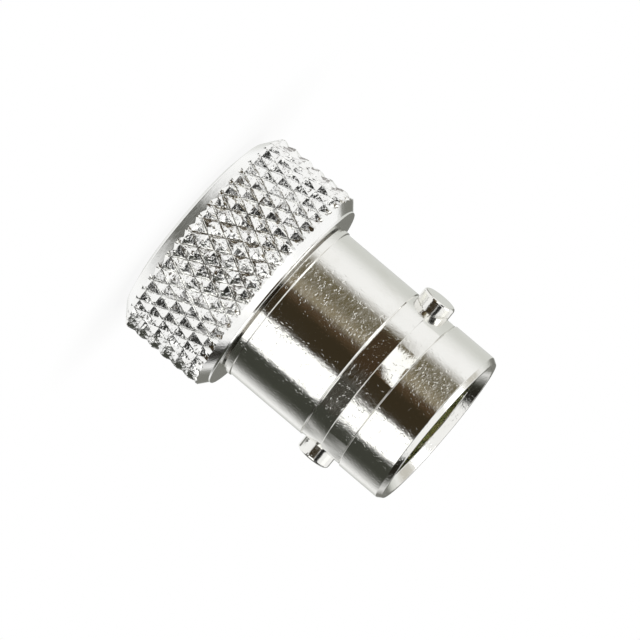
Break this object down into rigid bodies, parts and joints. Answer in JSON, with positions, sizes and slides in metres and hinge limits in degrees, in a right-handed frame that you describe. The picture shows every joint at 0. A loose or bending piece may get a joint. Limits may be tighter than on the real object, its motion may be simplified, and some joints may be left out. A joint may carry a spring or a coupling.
{
  "type": "coaxial terminator",
  "caption": "Coaxial terminator with a diamond-knurled closed head, a turned barrel with bayonet lugs and an open mouth round a slotted socket.",
  "frame": {"origin": "centre of the closed end's face, on the axis, where the part stands", "axes": "+Z along the axis from the closed knurled end to the open mouth; the two bayonet lugs lie along +X and -X"},
  "size_m": [0.013, 0.013, 0.0174],
  "materials": {
    "head_nickel": "bright nickel plate on a knurled and turned head",
    "barrel_nickel": "bright nickel plate with fine turning texture",
    "insulator": "white machined plastic",
    "gold": "gold plate",
    "bare_brass": "turned bare brass",
    "ceramic": "lacquered ceramic",
    "tin": "dull tin plate"
  },
  "bodies": {
    "root": {"knurled_cap": "head_nickel", "jack_body": "barrel_nickel", "front_insulator": "insulator", "centre_contact": "gold", "rear_insulator": "insulator", "retaining_ring": "bare_brass", "resistor_rod": "ceramic", "resistor_cap_front": "tin", "resistor_cap_rear": "tin", "ground_disc": "bare_brass"}
  },
  "joints": []
}
